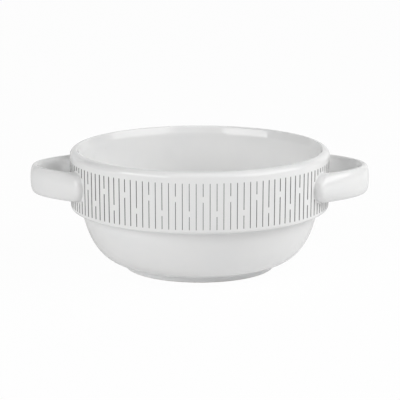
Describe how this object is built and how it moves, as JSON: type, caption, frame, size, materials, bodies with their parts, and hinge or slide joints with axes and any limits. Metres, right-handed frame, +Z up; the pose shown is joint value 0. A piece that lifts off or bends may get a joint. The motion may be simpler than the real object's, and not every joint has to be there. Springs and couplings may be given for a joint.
{
  "type": "handled stacking bowl",
  "caption": "Round glazed ceramic soup bowl with a straight-sided band, a stacking ledge under it, a foot ring and a horizontal strap handle on each side.",
  "frame": {"origin": "centre of the foot ring's underside, on the surface the bowl stands on", "axes": "+Z up along the bowl's axis, +X along the line through both handles, -Y towards the front"},
  "size_m": [0.1594, 0.122, 0.0566],
  "materials": {
    "glazed_body": "white gloss glaze over vitrified clay, bare standing edge on the foot ring",
    "glazed_handles": "white gloss glaze over vitrified clay",
    "slip_joints": "fired slip under the same white glaze"
  },
  "bodies": {
    "root": {"bowl_body": "glazed_body", "right_handle": "glazed_handles", "left_handle": "glazed_handles", "right_front_slip_joint": "slip_joints", "right_back_slip_joint": "slip_joints", "left_front_slip_joint": "slip_joints", "left_back_slip_joint": "slip_joints"}
  },
  "joints": []
}
